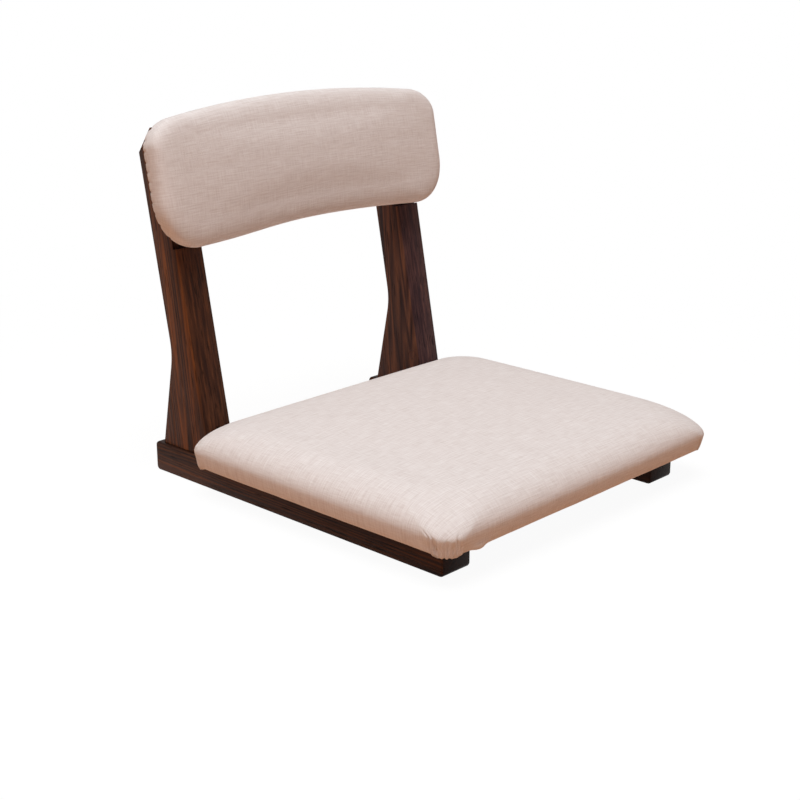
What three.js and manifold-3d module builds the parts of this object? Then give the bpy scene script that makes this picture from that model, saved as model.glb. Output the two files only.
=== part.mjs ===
// Low wooden floor chair: two skids, an upholstered seat, and a back that folds forward over it.
// Units are millimetres. X runs across the chair, Y from front to rear, and Z is up.
// The origin is on the floor, at the middle of the chair's footprint.

import * as THREE from 'three';
import { mergeVertices } from 'three/addons/utils/BufferGeometryUtils.js';
import Module from 'manifold-3d';

const wasm = await Module();
wasm.setup();

// Skids: the two rails that lie on the floor.
const skidSpan = 394;
const skidWidth = 41;
const skidHeight = 35;
const skidLength = 450;
const skidEndRound = 5;
const skidEase = 2;

// Posts: one waisted board each side, standing on the skid by its heel.
const postThickness = 36;
const postDepth = 40;
const postHeight = 398;
const postRake = THREE.MathUtils.degToRad(10.74);
const postFrontSetback = 95.7;
const heelSetback = 12.9;
const waistHeight = 146;
const waistBlend = 16;
const postTopBevelDepth = 26.8;
const postTopBevelHeight = 29;
const postEase = 1.4;

// Fold hinge: a steel tongue stands in each skid and a blind pin joins it to the post. The
// tongue is cranked, so that its slot opens on the post's front face only behind the seat.
const pivotHeight = 80;
const pivotInset = 11.2;
const foldAngle = THREE.MathUtils.degToRad(80);
const tongueThickness = 4;
const tongueWidth = 12;
const tongueCrank = 16;
const tongueNeckDrop = 12;
const tongueElbowDrop = 4;
const tongueEyeWall = 2.5;
const tongueFloorWall = 7;
const bushOuterRadius = 6;
const pinRadius = 4;
const pinOuterWall = 6;
const plugRadius = 6;
const plugThickness = 5;
const tongueScrewRadius = 2;
const tongueScrewHeadRadius = 4;
const tongueScrewHeadHeight = 2.6;
const tongueScrewLength = 34;
const tongueScrewLowHeight = 14;
const tongueScrewPitch = 12;

// Seat: plywood board, foam and a fabric cover turned under the board.
const seatSideOverhang = 32.4;
const seatFrontOverhang = 35.3;
const seatRearSetback = 94.5;
const seatCornerRadii = [27.6, 20.9]; // front, rear
const seatTopCornerRadii = [89.3, 43.3];
const seatWidestHeight = 55.5;
const seatEdgeTop = 86.8;
const seatCrown = 5;
const seatEdgeRound = 47.2;
const seatEdgePower = 1.9;
const seatUnderRound = 5;
const seatUnderPower = 1.3;
const seatBoardThickness = 12;
const seatBoardInset = 7;
const seatHem = 34;
const dustClothThickness = 0.8;
const dustClothInset = 14;

// Backrest: curved plywood, foam, cover and a rear lining, let into the posts.
const backSideOverhang = 27.7;
const backHalfHeight = 74.1;
const backCenterDrop = 49.2;
const backCornerRadius = 49;
const backFrontCornerRadius = 43;
const backThickness = 36.5;
const backCrown = 2.5;
const backBow = 9;
const backTopArch = 18.3;
const backBottomArch = 11.5;
const backWidestDepth = 18;
const backRearRound = 8.7;
const backFrontRound = 27.5;
const backEdgePower = 3.2;
const backNotch = 5.6;
const backBoardThickness = 9;
const backBoardInset = 11.5;
const backHem = 20;
const liningThickness = 0.8;
const liningInset = 12;

// Upholstery and clearances shared by both cushions.
const coverThickness = 1.2;
const clothGap = 0.3;
const curvedGap = 0.7;
const fitGap = 0.3;
const overrun = 5;

// Machine screws and tee nuts that hold the seat and the backrest.
const boltRadius = 3;
const boltHeadRadius = 5.5;
const boltHeadHeight = 4.5;
const boltTipGap = 2;
const socketRadius = 2.4;
const socketDepth = 2.6;
const socketSides = 6;
const teeFlangeRadius = 9;
const teeFlangeThickness = 1.4;
const teeBarrelWall = 0.8;
const teeFloorWall = 1.6;
const seatBoltHeadRecess = 9;
const seatBoltFrontSetback = 62;
const seatBoltRearSetback = 150;
const backBoltHeadRecess = 0.8;
const backBoltUpperRise = 10;
const backBoltLowerDrop = 36;

// How finely the round shapes are drawn.
const roundSteps = 12;
const arcSteps = 6;
const cornerSteps = 6;
const seatSideSteps = 4;
const backLongSteps = 9;
const backShortSteps = 2;
const bowSteps = 16;

// Places that follow from the sizes above. Y is measured here from the skids' rear ends.
const halfSeat = skidSpan / 2 + seatSideOverhang;
const seatFront = -skidLength - seatFrontOverhang;
const seatRear = -seatRearSetback;
const seatMiddle = (seatFront + seatRear) / 2;
const seatHalfLength = (seatRear - seatFront) / 2;
const skidX = (skidSpan - skidWidth) / 2;
const rakeSlope = Math.tan(postRake);
const postFrontAt = (z) => -postFrontSetback + (z - skidHeight) * rakeSlope;
const postRearAt = (z) => postFrontAt(z) + postDepth;
const pivotY = postFrontAt(pivotHeight) + pivotInset;
const pivotDrop = pivotHeight - skidHeight;
const tongueY = pivotY + tongueCrank;
const slotWidth = tongueThickness + 2 * fitGap;
const dustClothBottom = skidHeight + clothGap;
const hemBottom = dustClothBottom + dustClothThickness + clothGap;
const seatBoardBottom = hemBottom + coverThickness + clothGap;
const seatBoardTop = seatBoardBottom + seatBoardThickness;
const halfBack = skidX + postThickness / 2 + backSideOverhang;
const backCenterHeight = postHeight - backCenterDrop;
const postReach = postRearAt(postHeight - postTopBevelHeight);
const footprintMiddle = (seatFront + postReach) / 2;

const walnut = new THREE.Color('#4a2d1e');
const linen = new THREE.Color('#cdbdb6');

const finishes = {
  timber: { color: walnut, roughness: 0.5, metalness: 0 },
  plywood: { color: new THREE.Color('#b58f63'), roughness: 0.7, metalness: 0 },
  foam: { color: new THREE.Color('#e6dcc0'), roughness: 1, metalness: 0 },
  fabric: { color: linen, roughness: 0.95, metalness: 0 },
  lining: { color: new THREE.Color('#2a2624'), roughness: 0.95, metalness: 0 },
  steel: { color: new THREE.Color('#8c8c8e'), roughness: 0.35, metalness: 1 },
  darkSteel: { color: new THREE.Color('#2b2a2a'), roughness: 0.45, metalness: 1 },
  bronze: { color: new THREE.Color('#9a7440'), roughness: 0.4, metalness: 1 },
};

function toSolid(geometry) {
  const bare = geometry.clone();
  bare.deleteAttribute('normal');
  bare.deleteAttribute('uv');
  const merged = mergeVertices(bare);
  const mesh = new wasm.Mesh({
    numProp: 3,
    vertProperties: new Float32Array(merged.attributes.position.array),
    triVerts: new Uint32Array(merged.index.array),
  });
  return new wasm.Manifold(mesh);
}

function toGeometry(solid) {
  const mesh = solid.getMesh();
  const geometry = new THREE.BufferGeometry();
  geometry.setAttribute('position', new THREE.BufferAttribute(mesh.vertProperties, mesh.numProp));
  geometry.setIndex(new THREE.BufferAttribute(mesh.triVerts, 1));
  geometry.computeVertexNormals();
  return geometry;
}

function cut(geometry, tools) {
  let solid = toSolid(geometry);
  for (const tool of tools) {
    solid = solid.subtract(toSolid(tool));
  }
  return toGeometry(solid);
}

function common(first, second) {
  return toGeometry(toSolid(first).intersect(toSolid(second)));
}

function part(name, geometry, finish) {
  const mesh = new THREE.Mesh(geometry, new THREE.MeshStandardMaterial(finishes[finish]));
  mesh.name = name;
  return mesh;
}

// Turns a shape drawn in side view (Y, Z) into a board of the given thickness, centred on x.
function sideBoard(shape, x, thickness, ease) {
  const depth = thickness - 2 * ease;
  const geometry = new THREE.ExtrudeGeometry(shape, {
    depth,
    bevelEnabled: ease > 0,
    bevelThickness: ease,
    bevelSize: ease,
    bevelOffset: -ease,
    bevelSegments: 2,
    curveSegments: arcSteps,
  });
  geometry.translate(0, 0, -depth / 2);
  const side = new THREE.Matrix4().makeBasis(
    new THREE.Vector3(0, 1, 0),
    new THREE.Vector3(0, 0, 1),
    new THREE.Vector3(1, 0, 0),
  );
  geometry.applyMatrix4(side);
  return geometry.translate(x, 0, 0);
}

function box(width, length, height, x, y, z) {
  return new THREE.BoxGeometry(width, length, height).translate(x, y, z);
}

// A cylinder along X, Y or Z that runs from one coordinate to another on that axis.
function rod(axis, radius, from, to, center) {
  const geometry = new THREE.CylinderGeometry(radius, radius, Math.abs(to - from), roundSteps);
  if (axis === 'x') {
    geometry.rotateZ(Math.PI / 2);
  }
  if (axis === 'z') {
    geometry.rotateX(Math.PI / 2);
  }
  const place = new THREE.Vector3(...center);
  place[axis] = (from + to) / 2;
  return geometry.translate(place.x, place.y, place.z);
}

// A turned piece whose axis is Z, with its base at z = 0. Points are [radius, height].
function turned(points) {
  const profile = points.map(([radius, height]) => new THREE.Vector2(radius, height));
  return new THREE.LatheGeometry(profile, roundSteps).rotateX(Math.PI / 2);
}

// A machine screw that points up Z, with the outer face of its head at z = 0.
function machineScrew(length) {
  const blank = turned([
    [0, 0],
    [boltHeadRadius, 0],
    [boltHeadRadius, boltHeadHeight],
    [boltRadius, boltHeadHeight],
    [boltRadius, length],
    [0, length],
  ]);
  const socket = new THREE.CylinderGeometry(
    socketRadius,
    socketRadius,
    2 * socketDepth,
    socketSides,
  );
  return cut(blank, [socket.rotateX(Math.PI / 2)]);
}

// A tee nut whose flange top is at z = 0 and whose barrel hangs below it.
function teeNut(barrelLength) {
  const bore = boltRadius + fitGap;
  return turned([
    [bore, -teeFlangeThickness - barrelLength],
    [bore + teeBarrelWall, -teeFlangeThickness - barrelLength],
    [bore + teeBarrelWall, -teeFlangeThickness],
    [teeFlangeRadius, -teeFlangeThickness],
    [teeFlangeRadius, 0],
    [bore, 0],
    [bore, -teeFlangeThickness - barrelLength],
  ]);
}

// The hole for a tee nut set in the top of a board: a flange seat and a through bore.
function teeNutSeat(thickness) {
  const seatRadius = teeFlangeRadius + fitGap;
  const boreRadius = boltRadius + teeBarrelWall + 2 * fitGap;
  return turned([
    [0, -thickness - overrun],
    [boreRadius, -thickness - overrun],
    [boreRadius, -teeFlangeThickness - fitGap],
    [seatRadius, -teeFlangeThickness - fitGap],
    [seatRadius, overrun],
    [0, overrun],
  ]);
}

// A rounded rectangle as a ring of points. The corners on its -Y side have the first radius and
// those on its +Y side have the second.
function ring(halfWidth, halfLength, radii, widthSteps, lengthSteps) {
  const points = [];
  const radiusAt = (sy) => radii[sy > 0 ? 1 : 0];
  const corners = [
    [1, 1, 0, widthSteps],
    [-1, 1, 1, lengthSteps],
    [-1, -1, 2, widthSteps],
    [1, -1, 3, lengthSteps],
  ];
  corners.forEach(([sx, sy, quarter, sideSteps], index) => {
    const radius = radiusAt(sy);
    const center = [sx * (halfWidth - radius), sy * (halfLength - radius)];
    for (let i = 0; i <= cornerSteps; i += 1) {
      const angle = ((quarter + i / cornerSteps) * Math.PI) / 2;
      points.push([center[0] + radius * Math.cos(angle), center[1] + radius * Math.sin(angle)]);
    }
    const [nextX, nextY] = corners[(index + 1) % corners.length];
    const nextRadius = radiusAt(nextY);
    const start = points[points.length - 1];
    const end =
      quarter % 2 === 0
        ? [nextX * (halfWidth - nextRadius), start[1]]
        : [start[0], nextY * (halfLength - nextRadius)];
    for (let i = 1; i < sideSteps; i += 1) {
      const share = i / sideSteps;
      points.push([
        start[0] + (end[0] - start[0]) * share,
        start[1] + (end[1] - start[1]) * share,
      ]);
    }
  });
  return points;
}

// Skins a stack of rings into one closed body, with a pole at each end.
function skinned(firstPole, rings, lastPole) {
  const positions = [...firstPole];
  rings.forEach((points) => points.forEach((point) => positions.push(...point)));
  positions.push(...lastPole);
  const count = rings[0].length;
  const last = positions.length / 3 - 1;
  const index = [];
  for (let i = 0; i < count; i += 1) {
    const j = (i + 1) % count;
    index.push(0, 1 + i, 1 + j);
    index.push(last, last - count + j, last - count + i);
    for (let r = 0; r < rings.length - 1; r += 1) {
      const a = 1 + r * count;
      const b = a + count;
      index.push(a + i, b + i, b + j);
      index.push(a + i, b + j, a + j);
    }
  }
  const geometry = new THREE.BufferGeometry();
  geometry.setAttribute('position', new THREE.Float32BufferAttribute(positions, 3));
  geometry.setIndex(index);
  geometry.computeVertexNormals();
  return geometry;
}

// How far a soft edge has drawn in at a share of its height, for a rounding of a given reach.
function edgeInset(heightShare, reach, power) {
  return reach * (1 - (1 - heightShare ** power) ** (1 / power));
}

// The seat's section, as shares of its rise, its half length and its drop.
const seatInnerCornerRadius = 3;
const seatEdgeShares = [1, 0.97, 0.92, 0.84, 0.7, 0.5, 0.25, 0];
const seatCrownShares = [0.78, 0.4];
const seatUnderShares = [0.3, 0.6, 0.85, 1];

// One ring of the seat form. The skin depth moves it inwards from the outer face.
function seatRing(inset, z, skin, cornerRadii) {
  const drawn = inset + skin;
  const points = ring(
    halfSeat - drawn,
    seatHalfLength - drawn,
    cornerRadii.map((radius) => Math.max(radius - skin, seatInnerCornerRadius)),
    seatSideSteps,
    seatSideSteps,
  );
  return points.map(([x, y]) => [x, seatMiddle + y, z]);
}

const seatEdgeHeight = (skin, share) =>
  seatWidestHeight + (seatEdgeTop - seatWidestHeight - skin) * share;

// One ring over the widest line, at a share of the rise to the top's edge. Seen from above, the
// corners grow rounder with height, as cloth does that is drawn down over a squarer board.
function seatEdgeRing(skin, share) {
  const radii = seatCornerRadii.map(
    (radius, i) => radius + (seatTopCornerRadii[i] - radius) * share,
  );
  const inset = edgeInset(share, seatEdgeRound, seatEdgePower);
  return seatRing(inset, seatEdgeHeight(skin, share), skin, radii);
}

// The seat's upper rings, from the crown down to its widest line.
function seatTopRings(skin, lowest) {
  const inner = seatHalfLength - seatEdgeRound;
  const crown = seatCrownShares.map((share) => {
    const z = seatEdgeTop + seatCrown * share - skin;
    const radii = seatTopCornerRadii.map((radius) => radius * (1 - share));
    return seatRing(seatEdgeRound + inner * share, z, skin, radii);
  });
  const edge = seatEdgeShares
    .filter((share) => seatEdgeHeight(skin, share) > lowest)
    .map((share) => seatEdgeRing(skin, share));
  return [...crown, ...edge];
}

// One ring under the widest line, at a share of the drop to the underside, where the side leans
// inwards.
function seatUnderRing(skin, bottom, share) {
  const inset = edgeInset(share, seatUnderRound, seatUnderPower);
  const z = seatWidestHeight - (seatWidestHeight - bottom) * share;
  return seatRing(inset, z, skin, seatCornerRadii.map((radius) => radius - inset));
}

// The seat's lower rings, from under the widest line to the inner edge of the hem.
function seatUnderRings(skin, bottom) {
  const side = seatUnderShares.map((share) => seatUnderRing(skin, bottom, share));
  const hemRadii = [seatInnerCornerRadius, seatInnerCornerRadius];
  return [...side, seatRing(seatUnderRound + seatHem, bottom, 0, hemRadii)];
}

function seatCover() {
  const outer = [...seatTopRings(0, 0), ...seatUnderRings(0, hemBottom)];
  const inner = [
    ...seatTopRings(coverThickness, 0),
    ...seatUnderRings(coverThickness, hemBottom + coverThickness),
  ].reverse();
  const top = seatEdgeTop + seatCrown;
  return skinned([0, seatMiddle, top], [...outer, ...inner], [0, seatMiddle, top - coverThickness]);
}

// The ring round the seat's side at one height, over or under the widest line.
function seatRingAt(skin, floor, z) {
  if (z < seatWidestHeight) {
    return seatUnderRing(skin, floor, (seatWidestHeight - z) / (seatWidestHeight - floor));
  }
  return seatEdgeRing(skin, (z - seatWidestHeight) / (seatEdgeTop - seatWidestHeight - skin));
}

function seatFoam() {
  const skin = coverThickness + clothGap;
  const bottom = seatBoardTop + clothGap;
  const coverFloor = hemBottom + coverThickness;
  const rings = [...seatTopRings(skin, bottom), seatRingAt(skin, coverFloor, bottom)];
  const top = seatEdgeTop + seatCrown - skin;
  return skinned([0, seatMiddle, top], rings, [0, seatMiddle, bottom]);
}

// A flat sheet or board under the seat, following the seat's outline.
function seatPanel(inset, thickness, bottom) {
  const points = ring(
    halfSeat - inset,
    seatHalfLength - inset,
    seatCornerRadii.map((radius) => radius - inset),
    seatSideSteps,
    seatSideSteps,
  );
  const shape = new THREE.Shape(points.map(([x, y]) => new THREE.Vector2(x, y)));
  const geometry = new THREE.ExtrudeGeometry(shape, { depth: thickness, bevelEnabled: false });
  return geometry.translate(0, seatMiddle, bottom);
}

// The four places where screws come up through the skids into the seat.
const seatBoltPlaces = [
  ['front_right', -skidX, -skidLength + seatBoltFrontSetback],
  ['front_left', skidX, -skidLength + seatBoltFrontSetback],
  ['rear_right', -skidX, -seatBoltRearSetback],
  ['rear_left', skidX, -seatBoltRearSetback],
];

const tongueScrewHeights = [tongueScrewLowHeight, tongueScrewLowHeight + tongueScrewPitch];

// A skid: a rail with a mortise for the tongue, and holes for its screws and the seat's.
function skid(x) {
  const shape = new THREE.Shape();
  const r = skidEndRound;
  shape.moveTo(-r, 0);
  shape.absarc(-r, r, r, -Math.PI / 2, 0, false);
  shape.absarc(-r, skidHeight - r, r, 0, Math.PI / 2, false);
  shape.absarc(-skidLength + r, skidHeight - r, r, Math.PI / 2, Math.PI, false);
  shape.absarc(-skidLength + r, r, r, Math.PI, 1.5 * Math.PI, false);
  const inward = -Math.sign(x);
  const innerFace = x + (inward * skidWidth) / 2;
  const mortiseHeight = skidHeight - tongueFloorWall + overrun;
  const tools = [
    box(
      slotWidth,
      tongueWidth + 2 * fitGap,
      mortiseHeight,
      x,
      tongueY,
      tongueFloorWall - fitGap + mortiseHeight / 2,
    ),
  ];
  for (const [, boltX, boltY] of seatBoltPlaces.filter((place) => place[1] === x)) {
    const headRadius = boltHeadRadius + 2 * fitGap;
    tools.push(rod('z', headRadius, -overrun, seatBoltHeadRecess, [boltX, boltY, 0]));
    tools.push(rod('z', boltRadius + fitGap, 0, skidHeight + overrun, [boltX, boltY, 0]));
  }
  for (const z of tongueScrewHeights) {
    const center = [0, tongueY, z];
    const start = innerFace + inward * overrun;
    const tip = innerFace - inward * (tongueScrewLength + fitGap);
    const headFloor = innerFace - inward * (tongueScrewHeadHeight + fitGap);
    tools.push(rod('x', tongueScrewRadius + fitGap, start, tip, center));
    tools.push(rod('x', tongueScrewHeadRadius + fitGap, start, headFloor, center));
  }
  return cut(sideBoard(shape, x, skidWidth, skidEase), tools);
}

// The tongue's neck in side view about the pivot, grown by a gap: the radius of its eye, the
// corners where its edges meet the shank's, and the angles at which they leave the eye.
function tongueNeck(gap) {
  const radius = bushOuterRadius + tongueEyeWall + gap;
  const half = tongueWidth / 2 + gap;
  const front = new THREE.Vector2(tongueCrank - half, -tongueNeckDrop - gap);
  const rear = new THREE.Vector2(tongueCrank + half, -tongueElbowDrop + gap);
  const touch = (corner) => Math.acos(radius / corner.length());
  const frontAngle = Math.atan2(front.y, front.x) - touch(front);
  const rearAngle = Math.atan2(rear.y, rear.x) + touch(rear);
  return { radius, front, rear, frontAngle, rearAngle };
}

// The steel tongue: a shank with two screw holes in the skid, and a neck that leans forward
// to a round eye at the pivot.
function tongue(x) {
  const { radius, front, rear, frontAngle, rearAngle } = tongueNeck(0);
  const bottom = tongueFloorWall - pivotHeight;
  const shape = new THREE.Shape();
  shape.moveTo(front.x, bottom);
  shape.lineTo(rear.x, bottom);
  shape.lineTo(rear.x, rear.y);
  shape.absarc(0, 0, radius, rearAngle, frontAngle + 2 * Math.PI, false);
  shape.lineTo(front.x, front.y);
  const holes = [[0, 0, bushOuterRadius + fitGap]];
  for (const z of tongueScrewHeights) {
    holes.push([tongueCrank, z - pivotHeight, tongueScrewRadius + fitGap]);
  }
  for (const [y, z, holeRadius] of holes) {
    const hole = new THREE.Path();
    hole.absarc(y, z, holeRadius, 0, 2 * Math.PI, true);
    shape.holes.push(hole);
  }
  return sideBoard(shape, x, tongueThickness, 0).translate(0, pivotY, pivotHeight);
}

function hingeBush(x) {
  const bore = pinRadius + fitGap;
  const ringPiece = turned([
    [bore, -tongueThickness / 2],
    [bushOuterRadius, -tongueThickness / 2],
    [bushOuterRadius, tongueThickness / 2],
    [bore, tongueThickness / 2],
    [bore, -tongueThickness / 2],
  ]);
  return ringPiece.rotateY(Math.PI / 2).translate(x, pivotY, pivotHeight);
}

// A wood screw driven from the skid's inner face through the tongue.
function tongueScrew(x, z) {
  const inward = -Math.sign(x);
  const innerFace = x + (inward * skidWidth) / 2;
  const screw = turned([
    [0, 0],
    [tongueScrewHeadRadius, 0],
    [tongueScrewRadius, tongueScrewHeadHeight],
    [tongueScrewRadius, tongueScrewLength - 2 * tongueScrewRadius],
    [0, tongueScrewLength],
  ]);
  screw.rotateY((-inward * Math.PI) / 2);
  return screw.translate(innerFace, tongueY, z);
}

// The plane of the backrest: x across, y to the rear and z up along the rake.
const backPlane = new THREE.Matrix4().compose(
  new THREE.Vector3(0, postFrontAt(backCenterHeight), backCenterHeight),
  new THREE.Quaternion().setFromAxisAngle(new THREE.Vector3(1, 0, 0), -postRake),
  new THREE.Vector3(1, 1, 1),
);

// How far the bowed backrest stands forward of the post's front face, at a given x.
function bowAt(x) {
  return (backBow * (x * x - skidX * skidX)) / (halfBack * halfBack) - backNotch;
}

// Carries a point of the flat backrest form onto its bow and its arched edges.
function bowed([x, height], forward) {
  const share = height / backHalfHeight;
  const arch = height > 0 ? backTopArch : backBottomArch;
  const drop = arch * (x / halfBack) ** 2 * Math.abs(share);
  return [x, -forward - bowAt(x), height - drop];
}

// The backrest's section, as shares of its depths and of its half height.
const backInnerCornerRadius = 10;
const backEdgeShares = [1, 0.97, 0.86, 0.6, 0];
const backCrownShares = [0.5];
const backRearShares = [0.35, 0.7, 1];

function backRing(inset, forward, skin, cornerRadius) {
  const drawn = inset + skin;
  const radius = Math.max(cornerRadius - skin, backInnerCornerRadius);
  const points = ring(
    halfBack - drawn,
    backHalfHeight - drawn,
    [radius, radius],
    backLongSteps,
    backShortSteps,
  );
  return points.map((point) => bowed(point, forward));
}

function backFrontRings(skin, lowest) {
  const rise = backThickness - backWidestDepth;
  const inner = backHalfHeight - backFrontRound;
  const crown = backCrownShares.map((share) => {
    const forward = backThickness + backCrown * share - skin;
    const radius = backFrontCornerRadius * (1 - share);
    return backRing(backFrontRound + inner * share, forward, skin, radius);
  });
  const edge = backEdgeShares
    .map((share) => [
      edgeInset(share, backFrontRound, backEdgePower),
      backWidestDepth + (rise - skin) * share,
      backCornerRadius + (backFrontCornerRadius - backCornerRadius) * share,
    ])
    .filter(([, forward]) => forward > lowest)
    .map(([inset, forward, radius]) => backRing(inset, forward, skin, radius));
  return [...crown, ...edge];
}

function backRearRings(skin) {
  return backRearShares.map((share) => {
    const inset = edgeInset(share, backRearRound, 2);
    const forward = backWidestDepth - (backWidestDepth - skin) * share;
    return backRing(inset, forward, skin, backCornerRadius - inset);
  });
}

function backHemRing(forward) {
  const inset = backRearRound + backHem;
  return backRing(inset, forward, 0, backCornerRadius - inset);
}

function backPole(forward) {
  return bowed([0, 0], forward);
}

function backCover() {
  const outer = [...backFrontRings(0, 0), ...backRearRings(0), backHemRing(0)];
  const inner = [
    ...backFrontRings(coverThickness, 0),
    ...backRearRings(coverThickness),
    backHemRing(coverThickness),
  ].reverse();
  const front = backThickness + backCrown;
  const shell = skinned(backPole(front), [...outer, ...inner], backPole(front - coverThickness));
  return shell.applyMatrix4(backPlane);
}

// A sheet bowed like the backrest, between two distances forward of its rear face.
function bowedSheet(rear, front, halfHeight) {
  const shape = new THREE.Shape();
  const places = [];
  for (let i = 0; i <= bowSteps; i += 1) {
    places.push(-halfBack - overrun + (2 * (halfBack + overrun) * i) / bowSteps);
  }
  const line = (forward) => places.map((x) => new THREE.Vector2(x, -forward - bowAt(x)));
  shape.setFromPoints([...line(front), ...line(rear).reverse()]);
  const geometry = new THREE.ExtrudeGeometry(shape, { depth: 2 * halfHeight, bevelEnabled: false });
  return geometry.translate(0, 0, -halfHeight);
}

// A prism of the backrest's arched outline, through its whole thickness.
function backOutline(inset) {
  const flat = backRing(inset, 0, 0, backCornerRadius - inset);
  const points = flat.map(([x, , z]) => new THREE.Vector2(x, z));
  const depth = 2 * backThickness + 2 * backBow;
  const geometry = new THREE.ExtrudeGeometry(new THREE.Shape(points), {
    depth,
    bevelEnabled: false,
  });
  return geometry.translate(0, 0, -depth / 2).rotateX(Math.PI / 2);
}

const backBoardRear = coverThickness + curvedGap;
const backBoardFront = backBoardRear + backBoardThickness;

const backBoltPlaces = [
  ['upper_right', -skidX, backBoltUpperRise],
  ['upper_left', skidX, backBoltUpperRise],
  ['lower_right', -skidX, -backBoltLowerDrop],
  ['lower_left', skidX, -backBoltLowerDrop],
];

function backFoam() {
  const skin = coverThickness + curvedGap;
  const rings = [...backFrontRings(skin, 0), ...backRearRings(skin)];
  const body = skinned(backPole(backThickness + backCrown - skin), rings, backPole(skin));
  const cutter = bowedSheet(-overrun, backBoardFront + curvedGap, 2 * backHalfHeight);
  return cut(body, [cutter]).applyMatrix4(backPlane);
}

function backBoard() {
  const sheet = bowedSheet(backBoardRear, backBoardFront, 2 * backHalfHeight);
  const blank = common(sheet, backOutline(backBoardInset));
  const seats = backBoltPlaces.map(([, x, z]) => {
    const seat = teeNutSeat(backBoardThickness).rotateX(Math.PI / 2);
    return seat.translate(x, -teeFaceForward, z);
  });
  return cut(blank, seats).applyMatrix4(backPlane);
}

// The tee nuts' flanges lie just under the lowest point of the bowed front face round them.
const teeFaceForward = backBoardFront + bowAt(skidX - teeFlangeRadius) - fitGap;

function backLining() {
  const sheet = bowedSheet(-liningThickness - clothGap, -clothGap, 2 * backHalfHeight);
  const blank = common(sheet, backOutline(liningInset));
  const holes = backBoltPlaces.map(([, x, z]) =>
    rod('y', boltRadius + fitGap, -backThickness, backThickness, [x, 0, z]),
  );
  return cut(blank, holes).applyMatrix4(backPlane);
}

const postSquareDepth = postDepth * Math.cos(postRake);
const backBoltHeadRear = postSquareDepth - backBoltHeadRecess;
const backBoltLength = backBoltHeadRear + teeFaceForward - boltTipGap;

function backBolt(x, height) {
  const bolt = machineScrew(backBoltLength).rotateX(Math.PI / 2);
  return bolt.translate(x, backBoltHeadRear, height).applyMatrix4(backPlane);
}

function backTeeNut(x, height) {
  const nut = teeNut(backBoardThickness - teeFlangeThickness - teeFloorWall).rotateX(Math.PI / 2);
  return nut.translate(x, -teeFaceForward, height).applyMatrix4(backPlane);
}

// The post's side view. Its heel stands on the skid behind the pivot, and its toe is eased
// to a circle about the pivot, so that the toe clears the skid while the post folds forward.
function postShape() {
  const toeRadius = pivotDrop - fitGap;
  const reach = toeReach(toeRadius);
  const shape = new THREE.Shape();
  const toeAngle = Math.atan2(reach.z - pivotHeight, reach.y - pivotY);
  const top = postHeight;
  const bevelStart = postHeight - postTopBevelHeight;
  const blendEnd = waistHeight + waistBlend;
  const waistY = postRearAt(waistHeight);
  const heelY = -heelSetback;
  const heelRise = waistHeight - skidHeight;
  const blendShare = waistBlend / heelRise;
  shape.moveTo(heelY, skidHeight);
  shape.lineTo(waistY + (heelY - waistY) * blendShare, waistHeight - waistBlend);
  shape.quadraticCurveTo(waistY, waistHeight, postRearAt(blendEnd), blendEnd);
  shape.lineTo(postRearAt(bevelStart), bevelStart);
  shape.lineTo(postRearAt(top) - postTopBevelDepth, top);
  shape.lineTo(postFrontAt(top), top);
  shape.lineTo(reach.y, reach.z);
  shape.absarc(pivotY, pivotHeight, toeRadius, toeAngle, -Math.PI / 2, false);
  shape.lineTo(pivotY, skidHeight);
  return shape;
}

// Where the post's front face meets the circle of the eased toe.
function toeReach(radius) {
  const c = Math.cos(postRake);
  const s = Math.sin(postRake);
  const ahead = pivotInset * c;
  const below = Math.sqrt(radius * radius - ahead * ahead);
  return { y: pivotY - ahead * c - below * s, z: pivotHeight + ahead * s - below * c };
}

// The slot in the post's foot that the tongue swings out of. Its rear follows the tongue at
// rest and its front follows the tongue folded, so it is open below and low in front.
function postSlot(x) {
  const { radius, front, rear, frontAngle, rearAngle } = tongueNeck(2 * fitGap);
  const pivot = new THREE.Vector2();
  const bottom = -pivotDrop - overrun;
  const neck = front.clone().rotateAround(pivot, -foldAngle);
  const shank = new THREE.Vector2(front.x, bottom).rotateAround(pivot, -foldAngle);
  const shape = new THREE.Shape();
  shape.moveTo(shank.x, bottom);
  shape.lineTo(rear.x, bottom);
  shape.lineTo(rear.x, rear.y);
  shape.absarc(0, 0, radius, rearAngle, frontAngle - foldAngle + 2 * Math.PI, false);
  shape.lineTo(neck.x, neck.y);
  shape.lineTo(shank.x, shank.y);
  return sideBoard(shape, x, slotWidth, 0).translate(0, pivotY, pivotHeight);
}

// Where a blind pin sits in a post, as coordinates along X from the post's inner face.
function pinSpan(x) {
  const inward = -Math.sign(x);
  const innerFace = x + (inward * postThickness) / 2;
  const outerFace = x - (inward * postThickness) / 2;
  const shoulder = innerFace - inward * (plugThickness + fitGap);
  const blindEnd = outerFace + inward * pinOuterWall;
  return { inward, innerFace, shoulder, blindEnd };
}

function hingePin(x) {
  const { inward, shoulder, blindEnd } = pinSpan(x);
  const start = shoulder - inward * fitGap;
  const end = blindEnd + inward * fitGap;
  return rod('x', pinRadius, start, end, [0, pivotY, pivotHeight]);
}

function hingePlug(x) {
  const { inward, innerFace } = pinSpan(x);
  const end = innerFace - inward * plugThickness;
  return rod('x', plugRadius - fitGap, innerFace, end, [0, pivotY, pivotHeight]);
}

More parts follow.
